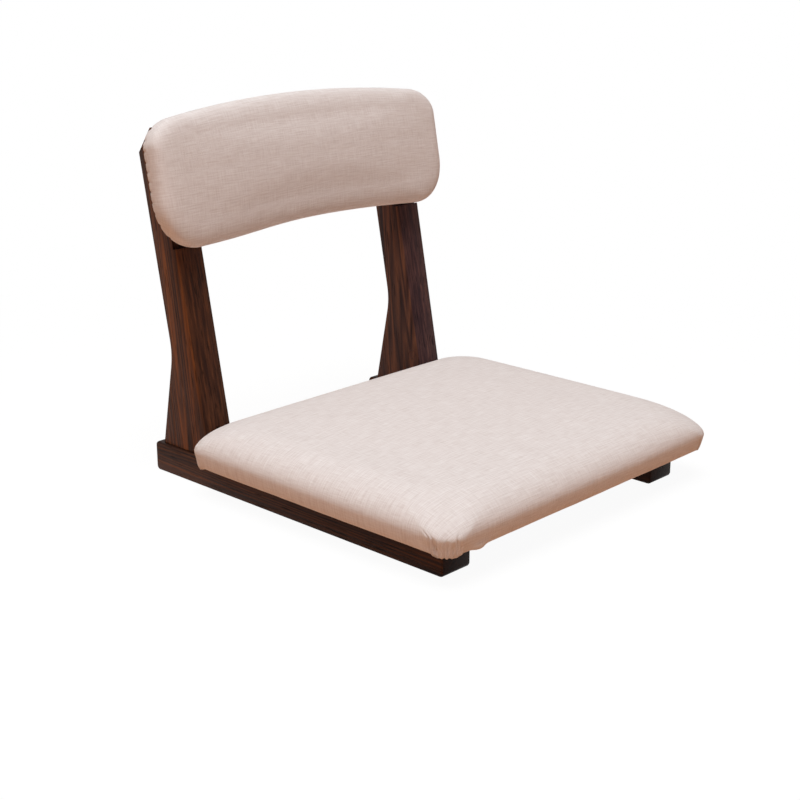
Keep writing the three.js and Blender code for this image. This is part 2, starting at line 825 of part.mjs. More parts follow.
function post(x) {
  const { inward, innerFace, shoulder, blindEnd } = pinSpan(x);
  const hinge = [0, pivotY, pivotHeight];
  const housingHalf = 2 * postHeight;
  const archShare = skidX / halfBack;
  const housingFloor = -backHalfHeight - backBottomArch * archShare ** 2 - clothGap;
  const housing = bowedSheet(-liningThickness - 2 * clothGap, backThickness + backBow, housingHalf);
  housing.translate(0, 0, housingHalf + housingFloor).applyMatrix4(backPlane);
  const tools = [
    postSlot(x),
    rod('x', pinRadius + fitGap, shoulder + inward * fitGap, blindEnd, hinge),
    rod('x', plugRadius, innerFace + inward * overrun, shoulder, hinge),
    housing,
  ];
  for (const [, boltX, height] of backBoltPlaces.filter((place) => place[1] === x)) {
    const center = [boltX, 0, height];
    const headFloor = backBoltHeadRear - boltHeadHeight - fitGap;
    const headRadius = boltHeadRadius + 2 * fitGap;
    const shank = rod('y', boltRadius + fitGap, -backThickness, postDepth, center);
    const head = rod('y', headRadius, headFloor, postDepth + overrun, center);
    tools.push(shank.applyMatrix4(backPlane), head.applyMatrix4(backPlane));
  }
  return cut(sideBoard(postShape(), x, postThickness, postEase), tools);
}

const sides = [
  ['right', -skidX],
  ['left', skidX],
];

const base = new THREE.Group();
const back = new THREE.Group();

for (const [side, x] of sides) {
  base.add(part(`skid_${side}`, skid(x), 'timber'));
  base.add(part(`hinge_tongue_${side}`, tongue(x), 'darkSteel'));
  base.add(part(`hinge_bush_${side}`, hingeBush(x), 'bronze'));
  base.add(part(`tongue_screw_lower_${side}`, tongueScrew(x, tongueScrewHeights[0]), 'steel'));
  base.add(part(`tongue_screw_upper_${side}`, tongueScrew(x, tongueScrewHeights[1]), 'steel'));
  back.add(part(`post_${side}`, post(x), 'timber'));
  back.add(part(`hinge_pin_${side}`, hingePin(x), 'steel'));
  back.add(part(`hinge_plug_${side}`, hingePlug(x), 'timber'));
}

const seatTeeSeats = seatBoltPlaces.map(([, x, y]) =>
  teeNutSeat(seatBoardThickness).translate(x, y, seatBoardTop),
);
const seatBolt = machineScrew(seatBoardTop - seatBoltHeadRecess + boltHeadHeight - boltTipGap);
const seatTee = teeNut(seatBoardThickness - teeFlangeThickness - teeFloorWall);
const dustClothHoles = seatBoltPlaces.map(([, x, y]) =>
  rod('z', boltRadius + fitGap, 0, seatBoardTop, [x, y, 0]),
);
const dustCloth = seatPanel(dustClothInset, dustClothThickness, dustClothBottom);
const seatBoardBlank = seatPanel(seatBoardInset, seatBoardThickness, seatBoardBottom);

base.add(part('seat_board', cut(seatBoardBlank, seatTeeSeats), 'plywood'));
base.add(part('seat_foam', seatFoam(), 'foam'));
base.add(part('seat_cover', seatCover(), 'fabric'));
base.add(part('seat_dust_cloth', cut(dustCloth, dustClothHoles), 'lining'));
for (const [place, x, y] of seatBoltPlaces) {
  const bolt = part(`seat_bolt_${place}`, seatBolt, 'steel');
  bolt.position.set(x, y, seatBoltHeadRecess - boltHeadHeight);
  const nut = part(`seat_tee_nut_${place}`, seatTee, 'steel');
  nut.position.set(x, y, seatBoardTop - fitGap);
  base.add(bolt, nut);
}

back.add(part('back_board', backBoard(), 'plywood'));
back.add(part('back_foam', backFoam(), 'foam'));
back.add(part('back_cover', backCover(), 'fabric'));
back.add(part('back_lining', backLining(), 'fabric'));
for (const [place, x, height] of backBoltPlaces) {
  back.add(part(`back_bolt_${place}`, backBolt(x, height), 'steel'));
  back.add(part(`back_tee_nut_${place}`, backTeeNut(x, height), 'steel'));
}

const chair = new THREE.Group();
chair.add(base, back);
chair.position.y = -footprintMiddle;

export default chair;
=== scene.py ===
# %% [markdown]
# # A folding floor chair
# This lesson dresses a low chair that stands on two wooden skids. The joiner's parts come in
# already made, at their real size and place, as a frame that never moves or changes. What is
# added here is what an upholsterer and a finisher add: stain and grain on the wood, two sewn
# cushions, the cloths that close them, and a plain studio to see it all in. Everything is in
# metres, with X across the chair, Y from front to rear and Z up.

# %% Load the frame
import math

import bmesh
import bpy
import numpy as np
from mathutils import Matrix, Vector


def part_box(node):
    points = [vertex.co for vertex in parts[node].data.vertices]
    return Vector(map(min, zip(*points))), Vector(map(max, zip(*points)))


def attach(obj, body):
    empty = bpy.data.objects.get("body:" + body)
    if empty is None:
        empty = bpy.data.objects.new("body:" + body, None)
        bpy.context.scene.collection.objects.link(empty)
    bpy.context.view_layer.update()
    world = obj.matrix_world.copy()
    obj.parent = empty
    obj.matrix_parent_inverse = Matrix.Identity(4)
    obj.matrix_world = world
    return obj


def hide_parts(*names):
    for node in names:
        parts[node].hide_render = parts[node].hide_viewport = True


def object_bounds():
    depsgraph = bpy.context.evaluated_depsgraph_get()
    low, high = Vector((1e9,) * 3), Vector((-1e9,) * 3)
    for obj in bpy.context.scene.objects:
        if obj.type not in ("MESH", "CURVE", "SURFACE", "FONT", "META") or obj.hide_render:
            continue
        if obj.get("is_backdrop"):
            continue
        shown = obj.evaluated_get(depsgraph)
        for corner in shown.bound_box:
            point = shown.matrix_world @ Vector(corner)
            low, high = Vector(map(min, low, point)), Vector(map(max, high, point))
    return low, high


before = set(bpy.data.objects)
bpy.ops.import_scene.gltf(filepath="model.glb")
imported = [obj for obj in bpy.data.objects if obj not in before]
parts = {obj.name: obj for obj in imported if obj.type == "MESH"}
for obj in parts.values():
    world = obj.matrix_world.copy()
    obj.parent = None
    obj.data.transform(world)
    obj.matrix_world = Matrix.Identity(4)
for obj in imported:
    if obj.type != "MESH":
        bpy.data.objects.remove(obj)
cad_low, cad_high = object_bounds()
print("parts in the frame:", len(parts))
print("size of the frame:", [round(v, 4) for v in cad_high - cad_low])

# %% [markdown]
# ## The camera
# The photograph was taken from the chair's front right, a little above it. The place and the
# lens were worked out from the edges of the two skids, which are straight and square to each
# other, so their vanishing points give both. A long lens keeps the skids almost parallel.

# %% The camera
camera_place = Vector((-1.22141, -1.12546, 0.62525))
camera_forward = Vector((0.69060, 0.65527, -0.30608))
camera_lens = 68.85
camera_sensor = 36.0
camera_near = 0.05
camera_far = 30.0


def make_camera():
    data = bpy.data.cameras.new("camera")
    data.lens = camera_lens
    data.sensor_width = camera_sensor
    data.clip_start = camera_near
    data.clip_end = camera_far
    camera = bpy.data.objects.new("camera", data)
    camera.location = camera_place
    camera.rotation_mode = "QUATERNION"
    camera.rotation_quaternion = camera_forward.to_track_quat("-Z", "Y")
    bpy.context.scene.collection.objects.link(camera)
    bpy.context.scene.camera = camera


make_camera()
print("camera looks along", [round(v, 3) for v in camera_forward])

# %% [markdown]
# ## Small tools for materials
# A material in Blender is a web of nodes. Building it in code stays readable when one helper
# makes a node, sets what it needs and takes the wires that come in. A second helper does sums,
# because most of a weave or a grain is only arithmetic on a place in space. The rest are the few
# steps that nearly every finish takes: a ramp of colours, a mix of two, noise and a bump.

# %% Colours
white = (1, 1, 1, 1)
black = (0, 0, 0, 1)
screen_levels = 255


def colour(red, green, blue):
    """A colour as it is read off a screen, turned into the linear light that Blender wants."""
    def linear(value):
        share = value / screen_levels
        return share / 12.92 if share <= 0.04045 else ((share + 0.055) / 1.055) ** 2.4
    return (linear(red), linear(green), linear(blue), 1.0)


print("middle grey is", [round(v, 3) for v in colour(128, 128, 128)])

# %% Nodes and sums
def add_node(tree, kind, wires=None, **settings):
    made = tree.nodes.new(kind)
    for name, value in settings.items():
        setattr(made, name, value)
    for name, value in (wires or {}).items():
        if isinstance(value, bpy.types.NodeSocket):
            tree.links.new(value, made.inputs[name])
        else:
            made.inputs[name].default_value = value
    return made


def sum_of(tree, operation, first, second=0.0, third=None, clamp=False):
    values = {0: first, 1: second}
    if third is not None:
        values[2] = third
    return add_node(tree, "ShaderNodeMath", values, operation=operation, use_clamp=clamp).outputs[0]


def new_material(name):
    material = bpy.data.materials.new(name)
    material.use_nodes = True
    tree = material.node_tree
    surface = tree.nodes["Principled BSDF"]
    return material, tree, surface


print("a node, a sum and a new material are ready to use")

# %% A ramp, a mix, noise and a bump
def ramp(tree, value, stops):
    made = add_node(tree, "ShaderNodeValToRGB", {"Fac": value})
    elements = made.color_ramp.elements
    while len(elements) < len(stops):
        elements.new(0.5)
    for element, (place, shade) in zip(elements, stops):
        element.position = place
        element.color = shade
    return made.outputs["Color"]


def mixed(tree, share, first, second, blend="MIX"):
    """Mixes two colours. The mixer's sockets 6 and 7 are its pair of colours."""
    wires = {0: share, 6: first, 7: second}
    made = add_node(tree, "ShaderNodeMix", wires, data_type="RGBA", blend_type=blend)
    return made.outputs[2]


def stretched_noise(tree, vector, scale, **wires):
    """Noise on a place that is first scaled by its own amount along each axis."""
    scaled = add_node(tree, "ShaderNodeMapping", {"Vector": vector, "Scale": scale})
    wires = {"Vector": scaled.outputs["Vector"], "Scale": 1.0, **wires}
    return add_node(tree, "ShaderNodeTexNoise", wires).outputs["Fac"]


def bumped(tree, surface, height, strength, depth):
    """Lights a surface as if it had a relief of this depth, in metres."""
    wires = {"Strength": strength, "Distance": depth, "Height": height}
    bump = add_node(tree, "ShaderNodeBump", wires)
    tree.links.new(bump.outputs["Normal"], surface.inputs["Normal"])


print("a ramp, a mix, noise and a bump are ready to use")

# %% [markdown]
# ## Stained wood
# The skids and posts are a ring-porous wood, stained a dark walnut brown and rubbed to a low
# shine. Stain sinks deep into the open pores and stays thin on the dense late wood, so the
# grain shows as orange-brown stripes between nearly black lines. The pattern is made from noise
# that is stretched along the board: broad stripes, growth lines, and short dark pores. The
# narrow faces are cut across the growth rings, so their lines are finer. They also take a second
# tone that is painted shade, for the way the light falls on them: it darkens the skids' narrow
# faces to about a third, and gives the posts' narrow faces a cooler cast.
# Each board has its own place in the pattern, and so carries a different piece of the tree, and
# each hinge plug is cut from the wood of its own post.

# %% The stain's colours
stain_dark = colour(42, 23, 16)
stain_middle = colour(68, 40, 26)
stain_light = colour(100, 60, 36)
stain_glow = colour(126, 80, 48)
pore_black = colour(18, 9, 7)
# Painted shade for the faces that don't face along X: darker on the skids, cooler on the posts.
skid_narrow_tone_and_shade = (0.32, 0.30, 0.36, 1)
post_narrow_tone_and_shade = (0.9, 1.0, 1.4, 1)
stain_stops = [(0.30, stain_dark), (0.50, stain_middle), (0.72, stain_light), (0.9, stain_glow)]
pore_stops = [(0.30, white), (0.40, black)]
print("colours in the stain:", len(stain_stops))

# %% The grain, and how the stain lies on it
grain_sway = (0.0018, 0.0018, 0.0)
sway_scale = 7.0
broad_stripe_scale = (95.0, 95.0, 3.0)
fine_stripe_scale = (300.0, 300.0, 2.2)
ring_scale = (30.0, 30.0, 1.1)
fibre_scale = (900.0, 900.0, 14.0)
pore_scale = (620.0, 620.0, 30.0)
ring_count = 15.0
ring_share = 0.3
narrow_ring_share = 0.1
stripe_share = 0.72
fibre_share = 0.22
pore_share = 0.75
pore_roughness = 0.2
fibre_height = 0.6
wood_roughness = 0.34
wood_bump = 0.0004
wood_bump_strength = 0.45
wood_shine = 0.07


def stained_wood(name, tilt, place, narrow_face_tone_and_shade, tint):
    """Wood whose grain runs along its own Z, turned by the tilt, cut at one place of the tree."""
    material, tree, surface = new_material(name)
    at = add_node(tree, "ShaderNodeTexCoord").outputs
    wires = {"Vector": at["Object"], "Location": place, "Rotation": tilt}
    board = add_node(tree, "ShaderNodeMapping", wires).outputs["Vector"]
    wires = {"Vector": board, "Scale": sway_scale, "Detail": 2.0}
    bend = add_node(tree, "ShaderNodeTexNoise", wires)
    wires = {0: bend.outputs["Color"], 1: grain_sway, 2: board}
    swayed = add_node(tree, "ShaderNodeVectorMath", wires, operation="MULTIPLY_ADD").outputs[0]

    def grain(scale, detail, roughness=0.55):
        return stretched_noise(tree, swayed, scale, Detail=detail, Roughness=roughness)

    facing = add_node(tree, "ShaderNodeSeparateXYZ", {"Vector": at["Normal"]})
    flat_face = sum_of(tree, "ABSOLUTE", facing.outputs["X"])
    narrow_face_grain_and_shade = sum_of(tree, "SUBTRACT", 1.0, flat_face, clamp=True)
    broad_stripes = grain(broad_stripe_scale, 3.0)
    finer = sum_of(tree, "SUBTRACT", grain(fine_stripe_scale, 2.0), broad_stripes)
    stripes = sum_of(tree, "MULTIPLY_ADD", narrow_face_grain_and_shade, finer, broad_stripes)
    rings = sum_of(tree, "MULTIPLY", grain(ring_scale, 1.5), ring_count)
    late_wood = sum_of(tree, "MULTIPLY", sum_of(tree, "PINGPONG", rings, 0.5), 2.0)
    fibres = grain(fibre_scale, 2.0, 0.7)
    fewer_rings = narrow_ring_share - ring_share
    ring_weight = sum_of(tree, "MULTIPLY_ADD", narrow_face_grain_and_shade, fewer_rings, ring_share)
    striped = sum_of(tree, "MULTIPLY", stripes, stripe_share)
    tone = sum_of(tree, "MULTIPLY_ADD", late_wood, ring_weight, striped)
    centred = sum_of(tree, "SUBTRACT", tone, fibre_share / 2)
    tone = sum_of(tree, "MULTIPLY_ADD", fibres, fibre_share, centred)
    shade = ramp(tree, tone, stain_stops)
    # Painted shade: faces that don't face along X take the board's second tone.
    shade = mixed(tree, narrow_face_grain_and_shade, shade, mixed(tree, 1.0, shade, narrow_face_tone_and_shade, "MULTIPLY"))
    pore = ramp(tree, grain(pore_scale, 1.0), pore_stops)
    shade = mixed(tree, sum_of(tree, "MULTIPLY", pore, pore_share), shade, pore_black)
    shade = mixed(tree, 1.0, shade, tint, "MULTIPLY")
    tree.links.new(shade, surface.inputs["Base Color"])
    gloss = sum_of(tree, "MULTIPLY_ADD", fibres, fibre_share, wood_roughness)
    rough = sum_of(tree, "MULTIPLY_ADD", pore, pore_roughness, gloss)
    tree.links.new(rough, surface.inputs["Roughness"])
    raised = sum_of(tree, "MULTIPLY", fibres, fibre_height)
    height = sum_of(tree, "MULTIPLY_ADD", pore, -1.0, raised)
    bumped(tree, surface, height, wood_bump_strength, wood_bump)
    surface.inputs["Specular IOR Level"].default_value = wood_shine
    return material


print("scale of the broad stripes across, up and along a board:", broad_stripe_scale)

# %% Stain the boards
rake = math.radians(10.74)
grain_lean_share = 0.6
along_skid = (math.pi / 2, 0, 0)
along_post = (grain_lean_share * rake, 0, 0)
near_post_tint = (1.5, 1.35, 1.0, 1)
far_post_tint = (1.5, 1.75, 2.5, 1)

# For each board, the tilt of its grain, its place in the tree, the tone and painted shade of its
# narrow faces, and a tint over the whole board.
boards = {
    "skid_right": (along_skid, (0.00, 0.31, 0.0), skid_narrow_tone_and_shade, white),
    "skid_left": (along_skid, (0.57, 0.13, 0.4), skid_narrow_tone_and_shade, white),
    "post_right": (along_post, (0.21, 0.77, 0.9), post_narrow_tone_and_shade, near_post_tint),
    "post_left": (along_post, (0.83, 0.42, 0.2), post_narrow_tone_and_shade, far_post_tint),
}
wood = {name: stained_wood("wood_" + name, *cut) for name, cut in boards.items()}
wood["hinge_plug_right"] = wood["post_right"]
wood["hinge_plug_left"] = wood["post_left"]
print("stained boards:", sorted(wood))

# %% [markdown]
# ## Linen
# Both cushions wear one plain-woven linen, a pale pinkish grey. Up close it is a grid of threads
# under a millimetre wide that pass over and under each other. Linen yarn is spun unevenly, so
# thicker, darker or paler slubs run for a few centimetres along some threads. The cushions carry
# a flat map of their cloth, in metres, and the weave is sums on that map. A little sheen stands
# for the loose fibres that catch the light at the edges.

# %% Linen
thread_pitch = 0.0009
linen_pale = colour(233, 228, 226)
linen_mid = colour(222, 214, 211)
linen_deep = colour(208, 197, 193)
weft_slub_scale = (42.0, 760.0, 1)
warp_slub_scale = (820.0, 60.0, 1)
weft_slub_share = 0.58
warp_slub_share = 0.42
cloud_scale = 26.0
cloud_share = 0.22
# The share of painted shade in the gaps between the threads.
thread_gap_shade_share = 0.30
crossing_sharpness = 3.0
slub_height = 1.3
weave_height = 0.5
linen_bump = 0.0005
linen_bump_strength = 0.5
linen_stops = [(0.34, linen_deep), (0.5, linen_mid), (0.66, linen_pale)]


def linen(name):
    material, tree, surface = new_material(name)
    flat = add_node(tree, "ShaderNodeUVMap", uv_map="cloth").outputs["UV"]
    split = add_node(tree, "ShaderNodeSeparateXYZ", {"Vector": flat})
    turns = math.pi / thread_pitch
    warp = sum_of(tree, "SINE", sum_of(tree, "MULTIPLY", split.outputs["X"], turns))
    weft = sum_of(tree, "SINE", sum_of(tree, "MULTIPLY", split.outputs["Y"], turns))
    crossing = sum_of(tree, "MULTIPLY", warp, weft)
    crossing = sum_of(tree, "MULTIPLY", crossing, crossing_sharpness)
    over = sum_of(tree, "MULTIPLY_ADD", crossing, 0.5, 0.5, clamp=True)
    under = sum_of(tree, "SUBTRACT", 1.0, over)
    warp_top = sum_of(tree, "MULTIPLY", sum_of(tree, "ABSOLUTE", warp), over)
    weft_top = sum_of(tree, "MULTIPLY", sum_of(tree, "ABSOLUTE", weft), under)
    weave = sum_of(tree, "ADD", warp_top, weft_top)

    weft_slubs = stretched_noise(tree, flat, weft_slub_scale, Detail=2.0)
    warp_slubs = stretched_noise(tree, flat, warp_slub_scale, Detail=2.0)
    wires = {"Vector": flat, "Scale": cloud_scale, "Detail": 3.0}
    clouds = add_node(tree, "ShaderNodeTexNoise", wires).outputs["Fac"]
    weft_part = sum_of(tree, "MULTIPLY", weft_slubs, weft_slub_share)
    warp_part = sum_of(tree, "MULTIPLY", warp_slubs, warp_slub_share)
    yarn = sum_of(tree, "ADD", weft_part, warp_part)
    shade = ramp(tree, yarn, linen_stops)
    shade = mixed(tree, sum_of(tree, "MULTIPLY", clouds, cloud_share), shade, linen_mid)
    # Painted shade: the gaps between the threads are darkened towards the deepest linen tone.
    shaded_thread_gaps = sum_of(tree, "SUBTRACT", 1.0, weave, clamp=True)
    shade = mixed(tree, sum_of(tree, "MULTIPLY", shaded_thread_gaps, thread_gap_shade_share), shade, linen_deep)
    tree.links.new(shade, surface.inputs["Base Color"])
    surface.inputs["Roughness"].default_value = 0.92
    surface.inputs["Specular IOR Level"].default_value = 0.25
    surface.inputs["Sheen Weight"].default_value = 0.18
    surface.inputs["Sheen Roughness"].default_value = 0.5
    woven = sum_of(tree, "MULTIPLY", weave, weave_height)
    height = sum_of(tree, "MULTIPLY_ADD", yarn, slub_height, woven)
    bumped(tree, surface, height, linen_bump_strength, linen_bump)
    return material


seat_linen = linen("linen_seat")
back_linen = linen("linen_back")
print("thread pitch, m:", thread_pitch)

# %% [markdown]
# ## The plainer finishes
# The hidden parts get the finish that they really have, because the chair is turned over and
# looked at from below too. Plywood shows rotary-cut grain, the dust cloth is a black felt of
# pressed fibres, the screws, nuts and pins are zinc plated and finely speckled, the tongues are
# blackened steel and the bushes are bronze.

# %% Plywood, dust cloth and metals
speckle_stops = (0.32, 0.68)
speckle_bump_strength = 0.4
speckle_roughness = 0.2


def speckled(name, base, tint, scale, roughness, metallic, bump_depth):
    """A finish with one colour broken up by fine noise, and a bump of the same grain."""
    material, tree, surface = new_material(name)
    at = add_node(tree, "ShaderNodeTexCoord").outputs["Object"]
    grain = stretched_noise(tree, at, scale, Detail=4.0, Roughness=0.6)
    shade = ramp(tree, grain, list(zip(speckle_stops, (base, tint))))
    tree.links.new(shade, surface.inputs["Base Color"])
    least = roughness - speckle_roughness / 2
    rough = sum_of(tree, "MULTIPLY_ADD", grain, speckle_roughness, least)
    tree.links.new(rough, surface.inputs["Roughness"])
    surface.inputs["Metallic"].default_value = metallic
    bumped(tree, surface, grain, speckle_bump_strength, bump_depth)
    return material


def even(scale):
    """The same scale along every axis."""
    return (scale, scale, scale)


plywood = speckled(
    "plywood",
    base=colour(171, 133, 92),
    tint=colour(200, 164, 120),
    scale=(60, 720, 60),
    roughness=0.7,
    metallic=0.0,
    bump_depth=0.0003,
)
dust_felt = speckled(
    "dust_felt",
    base=colour(26, 25, 25),
    tint=colour(48, 46, 45),
    scale=even(900),
    roughness=0.92,
    metallic=0.0,
    bump_depth=0.0003,
)
zinc = speckled(
    "zinc_plate",
    base=colour(150, 150, 152),
    tint=colour(190, 190, 190),
    scale=even(1400),
    roughness=0.34,
    metallic=1.0,
    bump_depth=0.00005,
)
black_steel = speckled(
    "black_steel",
    base=colour(38, 37, 38),
    tint=colour(58, 56, 56),
    scale=even(700),
    roughness=0.5,
    metallic=1.0,
    bump_depth=0.00008,
)
bronze = speckled(
    "bronze",
    base=colour(150, 108, 58),
    tint=colour(184, 140, 84),
    scale=even(900),
    roughness=0.4,
    metallic=1.0,
    bump_depth=0.00005,
)
print("plain finishes: plywood, dust_felt, zinc_plate, black_steel, bronze")

# %% [markdown]
# ## Dressing the frame's own parts
# A part whose shape is right stays as it is and only takes a finish. The frame draws its round
# edges as small flats, so a modifier joins the flats' corners and lets the light run smoothly
# over shallow angles. Sharp edges stay sharp, because the angle between their faces is large.

# %% Smooth the shallow edges
join_distance = 0.00002
widest_soft_angle = math.radians(32)


def soft_light_group(widest_angle):
    """A node group that joins split corners and shades shallow edges as one smooth surface."""
    group = bpy.data.node_groups.new("soft_light", "GeometryNodeTree")
    group.interface.new_socket("Geometry", in_out="INPUT", socket_type="NodeSocketGeometry")
    group.interface.new_socket("Geometry", in_out="OUTPUT", socket_type="NodeSocketGeometry")
    start = add_node(group, "NodeGroupInput")
    wires = {"Geometry": start.outputs[0], "Distance": join_distance}
    joined = add_node(group, "GeometryNodeMergeByDistance", wires)
    angle = add_node(group, "GeometryNodeInputMeshEdgeAngle")
    wires = {0: angle.outputs["Unsigned Angle"], 1: widest_angle}
    compare = {"data_type": "FLOAT", "operation": "GREATER_THAN"}
    sharp = add_node(group, "FunctionNodeCompare", wires, **compare)
    wires = {"Geometry": joined.outputs["Geometry"]}
    faces = add_node(group, "GeometryNodeSetShadeSmooth", wires, domain="FACE")
    wires = {
        "Geometry": faces.outputs["Geometry"],
        "Selection": sharp.outputs["Result"],
        "Shade Smooth": False,
    }
    edges = add_node(group, "GeometryNodeSetShadeSmooth", wires, domain="EDGE")
    add_node(group, "NodeGroupOutput", {0: edges.outputs["Geometry"]})
    return group


soft_light = soft_light_group(widest_soft_angle)


def dress(name, material):
    """Gives one part of the frame its finish and its smooth shading."""
    part = parts[name]
    part.data.materials.clear()
    part.data.materials.append(material)
    smoothing = part.modifiers.new("soft_light", "NODES")
    smoothing.node_group = soft_light


for name, material in wood.items():
    dress(name, material)
for name in parts:
    if "bolt" in name or "nut" in name or "screw" in name or "pin" in name:
        dress(name, zinc)
    elif "tongue" in name:
        dress(name, black_steel)
    elif "bush" in name:
        dress(name, bronze)
    elif "board" in name:
        dress(name, plywood)
print("dressed parts:", sum(1 for part in parts.values() if part.modifiers))

# %% [markdown]
# ## The shape of a cushion
# A cushion is drawn as a square sheet of small cells that is bent to a rounded rectangle. Rows
# of cells then run down its side and meet a second sheet underneath. This keeps the cells square
# and even, which a cloth simulation likes, and it gives closer cells in the corners, where the
# cover will be gathered. Each point remembers where it lay on the flat cloth, for the weave.

# %% A grid of shares, closer in the corners
corner_share = 0.24
corner_turn = math.pi / 4


def grid_shares(side_cells, corner_cells):
    near_corner = np.linspace(0, 1, corner_cells + 1)[:-1] * corner_share - 1
    middle = np.linspace(corner_share - 1, 1 - corner_share, side_cells + 1)
    return np.concatenate([near_corner, middle, -near_corner[::-1]])


def square_grid(cells):
    """The shares along one side of a square's grid, and for each of its points three things.

    They are its level, from 0 in the middle to 1 at the edge, and the place (u, v) on the edge
    that lies straight outward of it.
    """
    shares = grid_shares(*cells)
    grid_u, grid_v = np.meshgrid(shares, shares, indexing="ij")
    level = np.maximum(np.abs(grid_u), np.abs(grid_v))
    safe = np.where(level == 0, 1, level)
    return shares, level, grid_u / safe, grid_v / safe


def first_corners(count):
    """The first point of every cell in a square grid that has count points on a side."""
    return [i * count + j for i in range(count - 1) for j in range(count - 1)]


def edge_places(u, v):
    """For points (u, v) of a square's edge: on which side each lies, and how far along it."""
    on_y_side = np.abs(v) >= np.abs(u)
    along = np.where(on_y_side, u, v)
    side = np.sign(np.where(on_y_side, v, u))
    turn = np.clip((np.abs(along) - (1 - corner_share)) / corner_share, 0, 1) * corner_turn
    return on_y_side, along, side, turn


def rounded(u, v, half_x, half_y, radii, bulge):
    """Places a point of a square's edge, at (u, v), on a rounded rectangle's edge.

    The corners on the -Y side have the first radius, and those on the +Y side the second.
    """
    radius = np.where(v < 0, radii[0], radii[1])
    on_y_side, along, side, turn = edge_places(u, v)
    straight = np.where(on_y_side, half_x, half_y) - radius
    reach = np.where(on_y_side, half_y, half_x)
    share = np.minimum(np.abs(along) / (1 - corner_share), 1)
    run = np.sign(along) * (straight * share + radius * np.sin(turn))
    out = side * (reach - radius + radius * np.cos(turn) + bulge * (1 - share**2))
    return np.where(on_y_side, run, out), np.where(on_y_side, out, run)


def edge_directions(u, v):
    """Which way the edge of a rounded rectangle faces, seen from above, at each (u, v)."""
    on_y_side, along, side, turn = edge_places(u, v)
    run = np.sign(along) * np.sin(turn)
    out = side * np.cos(turn)
    return np.stack([np.where(on_y_side, run, out), np.where(on_y_side, out, run)], axis=-1)


print("share of a side that goes to each corner:", corner_share)

# %% Build a closed cushion from its section
crown_fall = 2.2


def cushion_form(half_x, half_y, section, crown, bulge, cells):
    """Points, faces and flat cloth places of a closed cushion.

    The section is a list of (inset, height, corner radii) from the edge of its top to the
    edge of its underside. The top swells by the crown above the section's first height, and
    the sides bulge between the corners.
    """
    shares, level, grid_u, grid_v = square_grid(cells)
    count = len(shares)

    def sheet(row, rise):
        inset, height, radii = row
        x, y = rounded(grid_u, grid_v, half_x - inset, half_y - inset, radii, bulge)
        z = height + rise * (1 - level**crown_fall)
        return np.stack([x * level, y * level, z], axis=-1).reshape(-1, 3)

    edge = [(i, 0) for i in range(count - 1)]
    edge += [(count - 1, j) for j in range(count - 1)]
    edge += [(i, count - 1) for i in range(count - 1, 0, -1)]
    edge += [(0, j) for j in range(count - 1, 0, -1)]
    edge_u = np.array([shares[i] for i, j in edge])
    edge_v = np.array([shares[j] for i, j in edge])
    top = sheet(section[0], crown)
    under = sheet(section[-1], 0)
    points = [top]
    flat = [top[:, :2]]
    outward = edge_directions(edge_u, edge_v)
    spare = 0.0
    rings = [[i * count + j for i, j in edge]]
    start = len(top)
    for before, row in zip(section, section[1:-1]):
        inset, height, radii = row
        spare += math.hypot(inset - before[0], height - before[1]) + inset - before[0]
        x, y = rounded(edge_u, edge_v, half_x - inset, half_y - inset, radii, bulge)
        points.append(np.stack([x, y, np.full_like(x, height)], axis=-1))
        flat.append(np.stack([x, y], axis=-1) + spare * outward)
        rings.append(list(range(start, start + len(edge))))
        start += len(edge)
    points.append(under)
    flat.append(under[:, :2])
    rings.append([start + i * count + j for i, j in edge])
    faces = []
    for a in first_corners(count):
        faces.append((a, a + count, a + count + 1, a + 1))
        b = start + a
        faces.append((b, b + 1, b + count + 1, b + count))
    for upper, lower in zip(rings, rings[1:]):
        for k in range(len(edge)):
            m = (k + 1) % len(edge)
            faces.append((upper[k], lower[k], lower[m], upper[m]))
    return np.concatenate(points), faces, np.concatenate(flat)


print("the power by which a top falls to its edge:", crown_fall)

# %% Make a piece, and move its points
def mesh_object(name, points, faces, flat, material):
    mesh = bpy.data.meshes.new(name)
    mesh.from_pydata([tuple(p) for p in points], [], faces)
    cloth_map = mesh.uv_layers.new(name="cloth")
    corners = np.zeros(len(mesh.loops), np.int32)
    mesh.loops.foreach_get("vertex_index", corners)
    cloth_map.data.foreach_set("uv", flat[corners].astype(np.float32).ravel())
    build = bmesh.new()
    build.from_mesh(mesh)
    bmesh.ops.recalc_face_normals(build, faces=build.faces)
    build.to_mesh(mesh)
    build.free()
    mesh.materials.append(material)
    mesh.polygons.foreach_set("use_smooth", np.ones(len(mesh.polygons), bool))
    made = bpy.data.objects.new(name, mesh)
    bpy.context.scene.collection.objects.link(made)
    return made


def point_values(piece, field):
    found = np.zeros(len(piece.data.vertices) * 3, np.float32)
    piece.data.vertices.foreach_get(field, found)
    return found.reshape(-1, 3).astype(float)


def places(piece):
    return point_values(piece, "co")


def set_places(piece, points):
    piece.data.vertices.foreach_set("co", points.astype(np.float32).ravel())
    piece.data.update()


print("cushion tools are ready")

# %% [markdown]
# ## Letting the cloth settle
# Foam pushes outwards and the cover holds it back. Blender's cloth can play both: the closed
# cover is blown up with a gentle pressure, gravity is off, and the part that is stapled to the
# board is pinned. Everywhere else a light pin stands for the grip of the foam. After twenty
# frames the cover has found its swell, and the modifier is applied. How far a point may have
# moved is capped, so the cushion keeps the size that it was cut to.

# %% Swell a cushion
swell_pressure = 4.0
swell_frames = 20
foam_grip = 0.17
cloth_stiffness = 60
furthest_swell = 0.004


def apply_modifiers(piece):
    """Replaces a piece's mesh with what its modifiers make of it."""
    graph = bpy.context.evaluated_depsgraph_get()
    result = bpy.data.meshes.new_from_object(piece.evaluated_get(graph))
    piece.modifiers.clear()
    old = piece.data
    piece.data = result
    bpy.data.meshes.remove(old)


